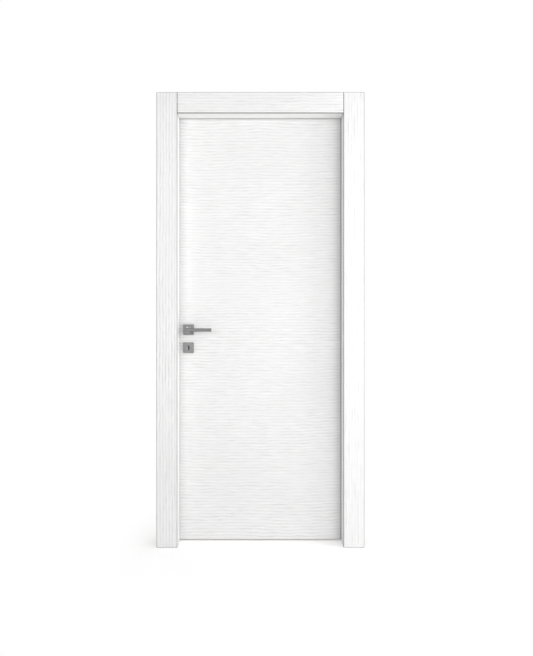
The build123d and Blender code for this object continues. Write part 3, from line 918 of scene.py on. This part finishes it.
def addScrew(bm, place, facing, turn):
    facing = Vector(facing)
    rightWay = Vector((0, 1, 0)) if abs(facing.y) < 0.5 else Vector((1, 0, 0))
    upWay = facing.cross(rightWay)

    def point(aside, up, height):
        right = aside * math.cos(turn) - up * math.sin(turn)
        top = aside * math.sin(turn) + up * math.cos(turn)
        return bm.verts.new(Vector(place) + rightWay * right + upWay * top + facing * height)

    def ring(radius, height):
        turns = [2 * math.pi * i / screw["sides"] for i in range(screw["sides"])]
        return [point(radius * math.cos(a), radius * math.sin(a), height) for a in turns]

    def cross(arm, half, height):
        corners = []
        for quarter in range(4):
            c, s = round(math.cos(math.pi / 2 * quarter)), round(math.sin(math.pi / 2 * quarter))
            for along, aside in ((arm, -half), (arm, half), (half, half)):
                corners.append(point(along * c - aside * s, along * s + aside * c, height))
        return corners

    def wall(first, second):
        count = len(first)
        for i in range(count):
            bm.faces.new((first[i], first[(i + 1) % count], second[(i + 1) % count], second[i]))

    skirt = ring(screw["radius"], -screw["rim"])
    edge = ring(screw["radius"], screw["rise"] - screw["rim"] / 2)
    top = ring(screw["radius"] - screw["rim"], screw["rise"])
    wall(skirt, edge)
    wall(edge, top)
    mouth = cross(screw["crossArm"], screw["crossHalfWidth"], screw["rise"])
    shorter, narrower = screw["crossFloor"]
    floor = cross(screw["crossArm"] * shorter, screw["crossHalfWidth"] * narrower,
                  screw["rise"] - screw["crossDepth"])
    wall(mouth, floor)
    bm.faces.new(floor)
    loops = [bm.edges.get((loop[i - 1], loop[i])) for loop in (top, mouth) for i in range(len(loop))]
    bmesh.ops.triangle_fill(bm, edges=loops, use_dissolve=False)


def makeScrews(name, body, places, facing):
    bm = bmesh.new()
    for number, place in enumerate(places):
        addScrew(bm, place, facing, screw["firstTurn"] + screw["turnStep"] * number)
    bmesh.ops.recalc_face_normals(bm, faces=bm.faces[:])
    screws = finishMesh(bm, name, screw["sharpAngle"])
    screws.data.materials.append(metal["screwSteel"])
    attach(screws, body)


screwPlaces = {
    "leafGap": 0.005,                   # from the leaf's edge to the jamb's rebate
    "hingeInset": (0.009, 0.021),       # back from the leaf's pull face, staggered
    "hingeRise": (0.044, 0.020),        # above and below the hinge's middle
    "faceplateEnd": 0.012,              # from each end of the plate
    "strikeEnd": 0.012,
}


def makeHingeScrews(values):
    onFrame, onLeaf = [], []
    for place in hingePlaces:
        low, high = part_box(f"{place}_hinge_leaf_half")
        middleZ = (low.z + high.z) / 2
        for rise, inset in zip(values["hingeRise"], values["hingeInset"]):
            for z in (middleZ - rise, middleZ + rise):
                onLeaf.append((leafHigh.x, backWallY - inset, z))
                onFrame.append((leafHigh.x + values["leafGap"], backWallY - inset, z))
    makeScrews("hingeScrewsFrame", "frame", onFrame, (-1, 0, 0))
    makeScrews("hingeScrewsLeaf", "leaf", onLeaf, (1, 0, 0))


def plateScrewPlaces(node, x, end):
    low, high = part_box(node)
    middleY = (low.y + high.y) / 2
    return [(x, middleY, low.z + end), (x, middleY, high.z - end)]


makeHingeScrews(screwPlaces)
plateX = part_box("lock_faceplate")[0].x
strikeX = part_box("strike_plate")[1].x
faceplatePlaces = plateScrewPlaces("lock_faceplate", plateX, screwPlaces["faceplateEnd"])
strikePlaces = plateScrewPlaces("strike_plate", strikeX, screwPlaces["strikeEnd"])
makeScrews("faceplateScrews", "leaf", faceplatePlaces, (-1, 0, 0))
makeScrews("strikeScrews", "frame", strikePlaces, (1, 0, 0))
print("screws driven")


# floor that goes over into the white background, and keeps the door's shadow
floorLook = {
    "size": 30.0,
    "segments": 12,
    "color": (0.90, 0.90, 0.90),
    "shade": 0.985,         # how much of the colour the darker patches keep
    "swellSize": 0.5,
    "roughness": 0.9,
    "specular": 0.1,
    "lift": 0.18,           # adds to what the camera sees, so that the lit floor comes up to white
    "fadeFrom": 0.3,        # metres from the door
    "fadeTo": 0.75,
}


def addSeenDirectly(tree):
    light = tree.nodes.new("ShaderNodeLightPath")
    seen = addMath(tree, "MAXIMUM", light.outputs["Is Camera Ray"], light.outputs["Is Glossy Ray"])
    return addMath(tree, "MAXIMUM", seen, light.outputs["Is Transmission Ray"])


def makeFloor(values):
    bm = bmesh.new()
    segments = values["segments"]
    bmesh.ops.create_grid(bm, x_segments=segments, y_segments=segments, size=values["size"] / 2)
    mesh = bpy.data.meshes.new("floor")
    bm.to_mesh(mesh)
    bm.free()
    floor = bpy.data.objects.new("floor", mesh)
    floor.location = ((cadLow.x + cadHigh.x) / 2, 0, cadLow.z)
    bpy.context.scene.collection.objects.link(floor)
    material, tree, shader, position = startMaterial("paleFloor")
    tooth = useGroup(tree, fineTooth, {"Position": position, "Swell Size": values["swellSize"]})
    pale = values["color"] + (1.0,)
    shade = tuple(values["shade"] * channel for channel in values["color"]) + (1.0,)
    tree.links.new(addColorMix(tree, tooth["Swell"], shade, pale), shader.inputs["Base Color"])
    shader.inputs["Roughness"].default_value = values["roughness"]
    shader.inputs["Specular IOR Level"].default_value = values["specular"]
    white = addNode(tree, "ShaderNodeEmission", {"Strength": 1.0})
    lift = addNode(tree, "ShaderNodeEmission", {"Strength": values["lift"]})
    lifted = addNode(tree, "ShaderNodeAddShader", {0: shader.outputs[0], 1: lift.outputs[0]})
    distance = addNode(tree, "ShaderNodeVectorMath", {0: position}, operation="LENGTH")
    fade = addRange(tree, distance.outputs["Value"], values["fadeFrom"], values["fadeTo"], 0.0, 1.0)
    seen = addNode(tree, "ShaderNodeMixShader", {0: fade, 1: lifted.outputs[0], 2: white.outputs[0]})
    chosen = addNode(tree, "ShaderNodeMixShader", {
        0: addSeenDirectly(tree), 1: shader.outputs[0], 2: seen.outputs[0],
    })
    tree.links.new(chosen.outputs[0], tree.nodes["Material Output"].inputs["Surface"])
    floor.data.materials.append(material)


# soft studio light: pale surroundings and large softboxes, the strongest from the right
studio = {
    "surroundings": 0.507,
    # turn to the right of the door's front and tilt up, in degrees
    "softboxes": {
        "keySoftbox": {
            "power": 20.6, "turn": 38, "tilt": 0, "distance": 2.9, "size": (2.0, 2.0), "aim": 1.35},
        "sideSoftbox": {
            "power": 29.4, "turn": 75, "tilt": 0, "distance": 2.4, "size": (0.9, 2.2), "aim": 1.45},
        "upperSoftbox": {
            "power": 6.2, "turn": 45, "tilt": 40, "distance": 3.2, "size": (1.4, 1.2), "aim": 1.2},
        "fillSoftbox": {
            "power": 21.2, "turn": -28, "tilt": 0, "distance": 3.0, "size": (1.2, 1.6), "aim": 1.8},
        "backSoftbox": {
            "power": 26.0, "turn": 150, "tilt": 15, "distance": 3.0, "size": (2.0, 2.0), "aim": 1.2},
        "backFill": {
            "power": 14.0, "turn": -150, "tilt": 15, "distance": 3.0, "size": (2.0, 2.0), "aim": 1.2},
    },
}


def lightStudio(values):
    world = bpy.data.worlds.new("studio")
    bpy.context.scene.world = world
    world.use_nodes = True
    tree = world.node_tree
    background = tree.nodes["Background"]
    background.inputs["Color"].default_value = (1.0, 1.0, 1.0, 1.0)
    strength = addRange(tree, addSeenDirectly(tree), 0.0, 1.0, values["surroundings"], 1.0, "LINEAR")
    tree.links.new(strength, background.inputs["Strength"])
    for name, softbox in values["softboxes"].items():
        turn, tilt = math.radians(softbox["turn"]), math.radians(softbox["tilt"])
        away = Vector((math.sin(turn) * math.cos(tilt), -math.cos(turn) * math.cos(tilt),
                       math.sin(tilt)))
        lamp = bpy.data.lights.new(name, "AREA")
        lamp.shape = "RECTANGLE"
        lamp.size, lamp.size_y = softbox["size"]
        lamp.energy = softbox["power"]
        stand = bpy.data.objects.new(name, lamp)
        stand.location = Vector((leafMiddleX, 0.0, softbox["aim"])) + softbox["distance"] * away
        stand.rotation_euler = (-away).to_track_quat("-Z", "Y").to_euler()
        stand.visible_camera = False
        bpy.context.scene.collection.objects.link(stand)


makeFloor(floorLook)
lightStudio(studio)
print("floor and lights set")
